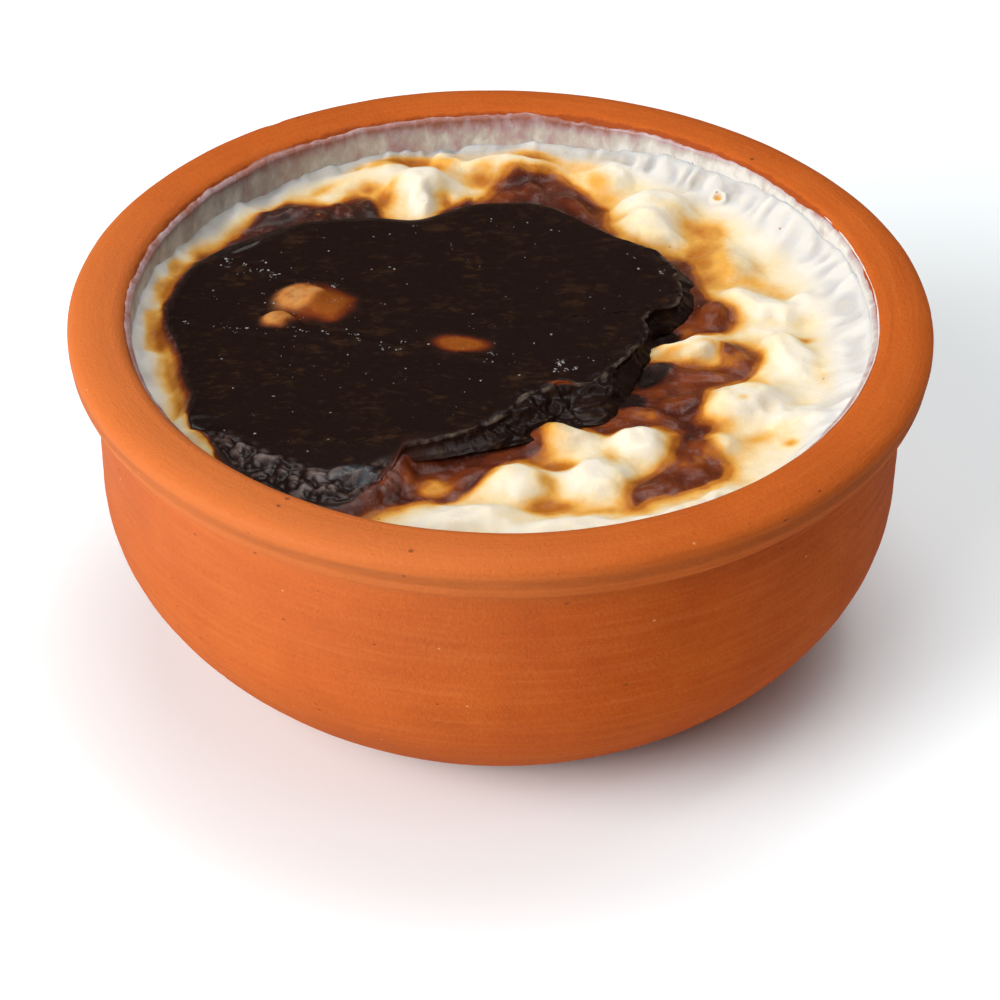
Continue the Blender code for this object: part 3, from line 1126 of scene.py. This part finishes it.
# Bearing in degrees from +X, height of the film's upper edge, how thin it has dried (0 to 1)
FILM = (
    (0, 53.0, 0.06),
    (40, 53.0, 0.10),
    (62, 52.9, 0.25),
    (78, 52.9, 0.48),
    (100, 52.9, 0.52),
    (125, 52.8, 0.40),
    (150, 52.7, 0.30),
    (180, 52.7, 0.25),
    (215, 52.0, 0.30),
    (250, 51.0, 0.25),
    (290, 51.0, 0.20),
    (330, 52.4, 0.10),
)
FILM_FOOT_Z = 44.0
FILM_SECTORS = 900
FILM_ROWS = 22
FILM_INTO_CLAY = 0.4


# The glossy line on the right: where it starts and ends, in degrees from +X, and its height
BEAD_BEARINGS = (-38, 62)
BEAD_Z = 52.95
BEAD_STEPS = 420
BEAD_SIDES = 8


def wall_radius(z):
    """The clay's inside above the belly, with the lip's rounding."""
    crest_z = RIM_TOP_Z - RIM_DROOP
    up = np.clip((z - INNER_LIP_Z) / (crest_z - INNER_LIP_Z), 0, 1)
    return LIP_R - (LIP_R - INNER_R) * (1 - up**ROUNDING) ** (1 / ROUNDING)


def build_film(material):
    around = FILM_SECTORS
    rows = FILM_ROWS
    bearing = np.arange(around) * 2 * math.pi / around
    stops, heights, thins = np.array(FILM, float).T
    degrees = np.degrees(bearing)
    along = bearing * INNER_R
    ragged = 0.45 * noise(along, 0 * along, 7.0, 401) + 0.28 * noise(along, 0 * along + 9, 1.6, 403)
    top = np.interp(degrees, stops, heights, period=360) + ragged
    thin_there = np.interp(degrees, stops, thins, period=360)
    points, thins_made = [], []
    for k in range(rows + 1):
        share = k / rows
        z = top - (top - FILM_FOOT_Z) * share**1.25
        drips = noise(along, z * 0.5, 2.0, 407, octaves=3)
        thick = 0.38 * smooth((top - z) / 0.45) + 0.16 * drips * smooth((top - z) / 1.2)
        thick = thick + 0.10 * np.exp(-(((top - z - 0.5) / 0.35) ** 2))
        r = wall_radius(z) - thick + (0.06 if k == 0 else 0.0)
        points.append(np.stack([r * np.cos(bearing), r * np.sin(bearing), z], 1))
        fade = np.exp(-(((top - z) / (0.3 + 3.2 * thin_there)) ** 2))
        thins_made.append(np.clip(thin_there * 0.8 + 0.62 * fade + 0.30 * drips, 0, 1))
    for z in (FILM_FOOT_Z, 47.0, 50.0):
        r = INNER_R + FILM_INTO_CLAY
        points.append(np.stack([r * np.cos(bearing), r * np.sin(bearing), 0 * bearing + z], 1))
        thins_made.append(0 * bearing)
    verts = np.vstack(points)
    faces = ring_faces(len(points), around, False, False)
    last = (len(points) - 1) * around
    for k in range(around):
        after = (k + 1) % around
        faces.append([last + k, k, after, last + after])
    faces = [face[::-1] for face in faces]
    piece = new_piece("milk_film", verts, faces, material)
    write_field(piece, "thin", np.concatenate(thins_made))
    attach(piece, "root")
    return piece


def build_dried_bead(material):
    """The glossy line left where the milk stood highest, on the right."""
    start, end = (math.radians(bearing) for bearing in BEAD_BEARINGS)
    steps = BEAD_STEPS
    sides = BEAD_SIDES
    bearing = np.linspace(start, end, steps)
    along = bearing * INNER_R
    z = BEAD_Z + 0.12 * noise(along, 0 * along, 6, 421)
    size = 0.11 + 0.09 * noise(along, 0 * along, 2.4, 423)
    taper = smooth((bearing - start) * 12) * smooth((end - bearing) * 12)
    size = np.maximum(size, 0.0) * taper + 0.012
    centre_r = wall_radius(z) - 0.02
    verts, faces = [], []
    for k in range(steps):
        for side in range(sides):
            turn = 2 * math.pi * side / sides
            r = centre_r[k] + size[k] * math.cos(turn)
            verts.append(
                (r * math.cos(bearing[k]), r * math.sin(bearing[k]), z[k] + size[k] * math.sin(turn))
            )
    for k in range(steps - 1):
        for side in range(sides):
            after = (side + 1) % sides
            low, high = k * sides, (k + 1) * sides
            faces.append([low + side, high + side, high + after, low + after])
    faces.append(list(range(sides)))
    faces.append(list(range((steps - 1) * sides, steps * sides))[::-1])
    piece = new_piece("dried_milk_line", verts, faces, material)
    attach(piece, "root")
    return piece


# ---------------------------------------------------------------- materials


class Graph:
    """A material's node tree, with short ways to add and link nodes."""

    def __init__(self, name):
        self.material = bpy.data.materials.new(name)
        self.material.use_nodes = True
        self.tree = self.material.node_tree
        self.shader = self.tree.nodes["Principled BSDF"]

    def link(self, source, socket):
        self.tree.links.new(source, socket)

    def put(self, socket, value):
        if isinstance(value, bpy.types.NodeSocket):
            self.link(value, socket)
        elif value is not None:
            socket.default_value = value

    def set(self, **values):
        """Sets the shader's sockets: base_color=... is Base Color."""
        for name, value in values.items():
            title = " ".join(word.capitalize() for word in name.split("_")).replace("Ior", "IOR")
            self.put(self.shader.inputs[title], value)

    def node(self, kind, **settings):
        made = self.tree.nodes.new(kind)
        for name, value in settings.items():
            setattr(made, name, value)
        return made

    def field(self, name):
        return self.node("ShaderNodeAttribute", attribute_name=name).outputs["Fac"]

    def place(self, stretch=(1, 1, 1)):
        """The piece's own coordinates, in millimetres, stretched."""
        where = self.node("ShaderNodeTexCoord").outputs["Object"]
        mapping = self.node("ShaderNodeMapping")
        mapping.inputs["Scale"].default_value = [1000 * s for s in stretch]
        self.link(where, mapping.inputs["Vector"])
        return mapping.outputs["Vector"]

    def xyz(self):
        """The piece's own x, y and z, in millimetres."""
        split = self.node("ShaderNodeSeparateXYZ")
        self.link(self.place(), split.inputs[0])
        return split.outputs

    def noise(self, cell, detail=3.0, rough=0.5, where=None, warp=0.0):
        made = self.node("ShaderNodeTexNoise")
        self.link(where or self.place(), made.inputs["Vector"])
        made.inputs["Scale"].default_value = 1 / cell
        made.inputs["Detail"].default_value = detail
        made.inputs["Roughness"].default_value = rough
        made.inputs["Distortion"].default_value = warp
        return made.outputs["Fac"]

    def specks(self, cell, radius, where=None, share=0.3):
        """1 on small round specks, of which share of the cells hold one."""
        spots = self.node("ShaderNodeTexVoronoi")
        self.link(where or self.place(), spots.inputs["Vector"])
        spots.inputs["Scale"].default_value = 1 / cell
        near = self.math("LESS_THAN", spots.outputs["Distance"], radius / cell)
        split = self.node("ShaderNodeSeparateColor")
        self.link(spots.outputs["Color"], split.inputs["Color"])
        kept = self.math("LESS_THAN", split.outputs["Red"], share)
        return self.times(near, kept)

    def math(self, operation, a, b=None):
        made = self.node("ShaderNodeMath", operation=operation)
        for socket, value in zip(made.inputs, (a, b)):
            self.put(socket, value)
        return made.outputs[0]

    def times(self, a, b):
        return self.math("MULTIPLY", a, b)

    def plus(self, a, b):
        return self.math("ADD", a, b)

    def band(self, value, low, high, out_low=0.0, out_high=1.0):
        """Maps low..high smoothly to out_low..out_high."""
        made = self.node("ShaderNodeMapRange", interpolation_type="SMOOTHSTEP")
        for socket, number in zip(made.inputs, (value, low, high, out_low, out_high)):
            self.put(socket, number)
        return made.outputs[0]

    def ramp(self, value, *stops):
        made = self.node("ShaderNodeValToRGB")
        self.link(value, made.inputs["Fac"])
        elements = made.color_ramp.elements
        while len(elements) < len(stops):
            elements.new(0.5)
        for element, (position, colour) in zip(elements, stops):
            element.position = position
            element.color = (*colour, 1.0)
        return made.outputs["Color"]

    def mix(self, share, a, b):
        made = self.node("ShaderNodeMix", data_type="RGBA", blend_type="MIX")
        self.put(made.inputs[0], share)
        for socket, colour in ((made.inputs[6], a), (made.inputs[7], b)):
            self.put(socket, (*colour, 1.0) if isinstance(colour, tuple) else colour)
        return made.outputs[2]

    def tint(self, colour, where, strength, new):
        """The colour with the new one mixed in, up to the strength, where the field is 1."""
        return self.mix(self.times(where, strength), colour, new)

    def bump(self, height, distance, normal=None):
        """Bump of the given height in millimetres for a value from 0 to 1."""
        made = self.node("ShaderNodeBump")
        made.inputs["Strength"].default_value = 1.0
        made.inputs["Distance"].default_value = distance * MM
        self.link(height, made.inputs["Height"])
        if normal:
            self.link(normal, made.inputs["Normal"])
        return made.outputs["Normal"]


# The cream's colour at each depth of browning, from 0 to 1
TOAST_COLOURS = (
    (0.00, (0.665, 0.605, 0.50)),
    (0.12, (0.66, 0.53, 0.32)),
    (0.25, (0.62, 0.325, 0.065)),
    (0.37, (0.40, 0.130, 0.012)),
    (0.50, (0.150, 0.029, 0.005)),
    (0.66, (0.065, 0.012, 0.005)),
    (0.82, (0.022, 0.008, 0.005)),
    (1.00, (0.0095, 0.0040, 0.0030)),
)


def clay_material():
    g = Graph("fired_clay")
    blotch = g.noise(14, 4, 0.6)
    grain = g.noise(0.55, 5, 0.7)
    colour = g.ramp(
        blotch,
        (0.30, (0.365, 0.056, 0.0042)),
        (0.52, (0.42, 0.070, 0.0050)),
        (0.72, (0.465, 0.086, 0.0085)),
    )
    colour = g.mix(g.band(grain, 0.50, 0.74, 0.0, 0.50), colour, (0.27, 0.040, 0.004))
    colour = g.mix(g.band(grain, 0.50, 0.24, 0.0, 0.30), colour, (0.56, 0.15, 0.028))
    x, y, z = g.xyz()
    r = g.math("SQRT", g.plus(g.times(x, x), g.times(y, y)))
    # Throwing lines follow the wall round, and the rim's top too
    on_top = g.times(g.times(r, -2.4), g.band(z, 49.5, 51.5))
    across = g.plus(g.times(z, 2.2), on_top)
    thrown = g.node("ShaderNodeCombineXYZ")
    g.link(g.times(x, 0.12), thrown.inputs[0])
    g.link(g.times(y, 0.12), thrown.inputs[1])
    g.link(across, thrown.inputs[2])
    streaks = g.noise(1.8, 4, 0.65, where=thrown.outputs[0])
    colour = g.mix(g.band(streaks, 0.45, 0.75, 0.0, 0.32), colour, (0.54, 0.145, 0.030))
    colour = g.mix(g.band(streaks, 0.50, 0.28, 0.0, 0.24), colour, (0.29, 0.042, 0.004))
    # Painted light: the front left, which faces the key lamps, made paler, and the rim's lit top made
    # lighter
    leftward = g.plus(g.times(x, -0.80), g.times(y, -0.60))
    painted_key_light = g.band(leftward, 5.0, 60.0)
    on_rim = g.band(z, 42.0, 50.0)
    colour = g.tint(colour, painted_key_light, 0.38, (0.455, 0.127, 0.031))
    colour = g.tint(colour, on_rim, 0.45, (0.46, 0.112, 0.020))
    # Painted light: the rim's front left, where the key lamps fall, lighter still
    painted_lit_rim = g.times(on_rim, painted_key_light)
    colour = g.tint(colour, painted_lit_rim, 0.5, (0.56, 0.148, 0.032))
    dark = g.specks(2.4, 0.19, where=g.place((0.6, 0.6, 1.3)), share=0.30)
    colour = g.tint(colour, dark, 0.6, (0.09, 0.022, 0.008))
    pale = g.specks(2.9, 0.17, where=g.place((0.73, 0.67, 1.21)), share=0.25)
    colour = g.tint(colour, pale, 0.6, (0.65, 0.32, 0.15))
    # Darker, glossier clay just below the lip: partly its wet glaze, partly painted shade under the lip
    ragged = g.noise(2.4, 3, 0.6)
    inner = g.plus(r, g.times(ragged, 1.0))
    wet_and_lip_shade = g.times(g.band(inner, LIP_R - 1.35, LIP_R - 1.75), g.band(z, 41.0, 43.0))
    colour = g.tint(colour, wet_and_lip_shade, 0.6, (0.22, 0.035, 0.008))
    # The foot ring painted darker: painted shade where the base turns under
    foot = g.band(z, FOOT_H + 0.25, FOOT_H - 0.05)
    colour = g.tint(colour, foot, 0.45, (0.30, 0.06, 0.015))
    dusty = g.times(g.band(z, 12.0, 44.0), g.band(painted_key_light, 0.0, 1.0, 0.02, 0.22))
    g.set(base_color=colour, roughness=g.band(wet_and_lip_shade, 0, 1, 0.75, 0.30), coat_weight=dusty)
    g.set(coat_roughness=0.60, specular_ior_level=0.05)
    fine = g.bump(grain, 0.22)
    pits = g.bump(g.math("SUBTRACT", 1.0, dark), 0.10, normal=fine)
    g.set(normal=g.bump(streaks, 0.12, normal=pits))
    return g.material


def toasted(g, extra):
    """The toast field with finer noise than the mesh holds, and its colour."""
    fine = g.noise(0.9, 4, 0.6)
    shift = g.times(g.math("SUBTRACT", fine, 0.5), extra)
    toast = g.plus(g.field("toast"), shift)
    return toast, g.ramp(toast, *TOAST_COLOURS)


def cream_material():
    g = Graph("toasted_milk_skin")
    toast, colour = toasted(g, 0.09)
    at_wall = g.field("at_wall")
    cool = g.times(g.band(at_wall, 0.0, 0.5), g.band(toast, 0.25, 0.05))
    colour = g.tint(colour, cool, 0.85, (0.545, 0.53, 0.51))
    # Painted shade: bluish grey in the valleys of the pleats on the wall
    pleat_shade = g.times(g.field("pleat_shade"), cool)
    colour = g.tint(colour, pleat_shade, 0.65, (0.36, 0.355, 0.365))
    dots = g.specks(4.0, 0.20, share=0.25)
    colour = g.tint(colour, dots, 0.7, (0.30, 0.13, 0.03))
    brown = g.times(g.band(toast, 0.30, 0.55), g.band(toast, 0.95, 0.80))
    burnt = g.band(toast, 0.80, 0.95)
    _, mottle = burnt_mottle(g)
    fleck = g.times(g.band(mottle, 0.50, 0.80), burnt)
    colour = g.tint(colour, fleck, 0.8, (0.040, 0.018, 0.008))
    rough = g.plus(g.band(toast, 0.2, 0.5, 0.42, 0.34), g.times(burnt, 0.2))
    # A painted mauve sheen in patches on the browned skin
    painted_mauve_sheen = g.times(g.band(g.noise(1.8, 4, 0.65), 0.50, 0.70, 0.0, 0.42), brown)
    colour = g.mix(painted_mauve_sheen, colour, (0.21, 0.10, 0.085))
    # Grey on the tops of the bubbles: a painted highlight
    bubbly = g.times(g.field("bubbly"), g.band(toast, 0.45, 0.60))
    colour = g.tint(colour, bubbly, 0.8, (0.12, 0.085, 0.078))
    g.set(
        base_color=colour,
        roughness=rough,
        subsurface_weight=g.band(toast, 0.15, 0.55, 0.85, 0.0),
        coat_weight=g.times(brown, 0.13),
    )
    g.set(specular_ior_level=0.08, coat_roughness=0.22)
    g.set(subsurface_radius=(1.0, 0.75, 0.45), subsurface_scale=0.0022)
    soft = g.bump(g.noise(1.4, 4, 0.6), 0.17)
    wrinkle = g.times(g.noise(0.9, 4, 0.6), g.band(toast, 0.3, 0.6))
    wrinkled = g.bump(wrinkle, 0.22, normal=soft)
    g.set(normal=g.bump(g.noise(0.5, 2, 0.5), 0.03, normal=wrinkled))
    return g.material


def burnt_mottle(g):
    """Fine uneven grain of the burnt milk skin, drawn out a little from left to right."""
    fine = g.noise(1.3, 6, 0.72, where=g.place((0.6, 1.25, 1)), warp=0.6)
    broad = g.noise(7.0, 3, 0.6)
    return fine, g.plus(fine, g.times(g.math("SUBTRACT", broad, 0.5), 0.5))


def skin_material():
    g = Graph("burnt_milk_skin")
    toast, colour = toasted(g, 0.05)
    fine, mottle = burnt_mottle(g)
    burnt = g.band(toast, 0.8, 0.95)
    fleck = g.times(g.band(mottle, 0.50, 0.80), burnt)
    colour = g.tint(colour, fleck, 0.8, (0.040, 0.018, 0.008))
    patchy = g.ramp(g.noise(2.2, 3, 0.6), (0.35, (0.30, 0.105, 0.025)), (0.6, (0.43, 0.20, 0.068)))
    colour = g.tint(colour, g.field("tan"), 0.9, patchy)
    # A painted highlight along the torn crest
    colour = g.tint(colour, g.field("crest"), 0.9, (0.115, 0.082, 0.062))
    blister = g.field("blistered")
    # Blisters light grey on their tops and near black in their hollows: painted highlights and shade
    patchy_noise = g.noise(1.8, 3, 0.6)
    uneven = g.times(g.math("SUBTRACT", patchy_noise, 0.5), 1.2)
    grey = g.ramp(
        g.plus(g.field("tops"), uneven),
        (0.12, (0.012, 0.005, 0.004)),
        (0.38, (0.036, 0.021, 0.017)),
        (0.80, (0.135, 0.097, 0.086)),
    )
    browned_there = g.band(toast, 0.98, 0.70, 0.85, 0.25)
    colour = g.mix(g.times(blister, browned_there), colour, grey)
    # A bluish sheen round the largest blisters
    x, y, _ = g.xyz()
    dx = g.times(g.plus(x, 19.5), 0.24)
    dy = g.times(g.plus(y, 34.0), 0.40)
    away = g.plus(g.times(dx, dx), g.times(dy, dy))
    blue = g.times(g.band(away, 1.2, 0.1), g.band(patchy_noise, 0.35, 0.6))
    colour = g.tint(colour, blue, 0.75, (0.030, 0.042, 0.052))
    gloss = g.field("gloss")
    g.set(
        base_color=colour,
        roughness=g.band(gloss, 0.0, 1.0, 0.55, 0.36),
        coat_weight=g.times(gloss, 0.24),
    )
    g.set(specular_ior_level=0.03, coat_roughness=0.18)
    coarse = g.bump(fine, 0.16)
    g.set(normal=g.bump(g.noise(0.35, 3, 0.6), 0.07, normal=coarse))
    return g.material


def film_material():
    g = Graph("dried_milk_film")
    streak = g.noise(1.3, 4, 0.6, where=g.place((1, 1, 0.6)), warp=0.4)
    thin = g.plus(g.field("thin"), g.times(g.math("SUBTRACT", streak, 0.5), 0.9))
    colour = g.ramp(
        thin,
        (0.05, (0.64, 0.62, 0.58)),
        (0.36, (0.46, 0.42, 0.38)),
        (0.60, (0.41, 0.29, 0.30)),
        (1.00, (0.28, 0.11, 0.08)),
    )
    g.set(base_color=colour, roughness=g.band(thin, 0.2, 1.0, 0.45, 0.30), subsurface_weight=0.3)
    g.set(subsurface_radius=(1.0, 0.7, 0.5), subsurface_scale=0.001, specular_ior_level=0.35)
    g.set(normal=g.bump(streak, 0.12))
    return g.material


def bead_material():
    g = Graph("dried_milk_bead")
    tone = g.ramp(g.noise(1.2), (0.3, (0.60, 0.42, 0.34)), (0.7, (0.75, 0.66, 0.60)))
    g.set(base_color=tone, roughness=0.18)
    return g.material


def glint_fleck_material():
    g = Graph("grey_glint_flecks")
    # Painted glints on the burnt skin
    tone = g.ramp(g.noise(2.0), (0.3, (0.09, 0.085, 0.08)), (0.7, (0.26, 0.25, 0.24)))
    g.set(base_color=tone, roughness=0.35)
    return g.material


def floor_material():
    g = Graph("pale_floor")
    tone = g.ramp(g.noise(400, 2, 0.5), (0.3, (0.870, 0.912, 0.925)), (0.7, (0.880, 0.922, 0.935)))
    g.set(base_color=tone, roughness=0.9, specular_ior_level=0.1)
    return g.material


# ---------------------------------------------------------------- stage, light, camera


def build_floor():
    half = 3.0
    mesh = bpy.data.meshes.new("floor")
    mesh.from_pydata(
        [(-half, -half, 0), (half, -half, 0), (half, half, 0), (-half, half, 0)], [], [(0, 1, 2, 3)]
    )
    mesh.materials.append(floor_material())
    floor = bpy.data.objects.new("floor", mesh)
    floor.location.z = cad_box[0][2]
    bpy.context.scene.collection.objects.link(floor)


def area_light(name, place, target, size, power):
    data = bpy.data.lights.new(name, "AREA")
    data.shape = "SQUARE"
    data.size = size
    data.energy = power
    lamp = bpy.data.objects.new(name, data)
    lamp.location = place
    lamp.rotation_euler = (Vector(target) - Vector(place)).to_track_quat("-Z", "Y").to_euler()
    bpy.context.scene.collection.objects.link(lamp)


# Large soft lamps round the bowl: (name, degrees anticlockwise from the front, degrees above the
# table, watts)
LAMPS = (
    ("key_low", 300, 22, 10.2),
    ("key_high", 318, 38, 5.0),
    ("back_right", 135, 72, 3.5),
    ("back", 180, 73, 3.2),
    ("front_right", 45, 65, 1.7),
)
LAMP_DISTANCE = 1.0
LAMP_SIZE = 0.6


def build_light():
    scene = bpy.context.scene
    world = bpy.data.worlds.new("studio")
    world.use_nodes = True
    background = world.node_tree.nodes["Background"]
    background.inputs["Color"].default_value = (0.96, 0.98, 1.0, 1)
    background.inputs["Strength"].default_value = 0.075
    scene.world = world
    aim = Vector((0, 0, 0.03))
    for name, bearing, height, power in LAMPS:
        turn, rise = math.radians(bearing), math.radians(height)
        away = Vector(
            (math.sin(turn) * math.cos(rise), -math.cos(turn) * math.cos(rise), math.sin(rise))
        )
        area_light(name, aim + LAMP_DISTANCE * away, aim, LAMP_SIZE, power)
    scene.view_settings.view_transform = "Standard"
    scene.view_settings.look = "None"


# The camera: angles in degrees, places in metres, lens and sensor in millimetres
CAMERA_ELEVATION = 36.51
CAMERA_DIP = 0.68  # how far below the aim point it looks
CAMERA_YAW = 0.027
CAMERA_ROLL = 0.797
CAMERA_DISTANCE = 0.4453
CAMERA_AIM_Z = 0.025
FOCAL_LENGTH = 110.73
SENSOR_WIDTH = 36


def build_camera():
    """Above the front, looking down at the bowl, with a slight roll."""
    centre = (Vector(cad_box[0]) + Vector(cad_box[1])) / 2
    elevation = math.radians(CAMERA_ELEVATION)
    pitch = elevation + math.radians(CAMERA_DIP)
    yaw = math.radians(CAMERA_YAW)
    roll = math.radians(CAMERA_ROLL)
    aim = Vector((centre.x, centre.y, CAMERA_AIM_Z))
    eye = aim + CAMERA_DISTANCE * Vector((0, -math.cos(elevation), math.sin(elevation)))
    forward = Vector(
        (math.sin(yaw) * math.cos(pitch), math.cos(yaw) * math.cos(pitch), -math.sin(pitch))
    )
    right = forward.cross(Vector((0, 0, 1))).normalized()
    up = right.cross(forward)
    turned_right = right * math.cos(roll) + up * math.sin(roll)
    turned_up = up * math.cos(roll) - right * math.sin(roll)
    data = bpy.data.cameras.new("camera")
    data.sensor_width = SENSOR_WIDTH
    data.lens = FOCAL_LENGTH
    camera = bpy.data.objects.new("camera", data)
    camera.matrix_world = Matrix.Translation(eye) @ Matrix(
        (turned_right, turned_up, -forward)
    ).transposed().to_4x4()
    bpy.context.scene.collection.objects.link(camera)
    bpy.context.scene.camera = camera


def main():
    build_floor()
    build_light()
    build_camera()
    build_bowl(clay_material())
    build_pudding(cream_material())
    build_skin(skin_material())
    build_glint_flecks(glint_fleck_material())
    build_film(film_material())
    build_dried_bead(bead_material())


main()
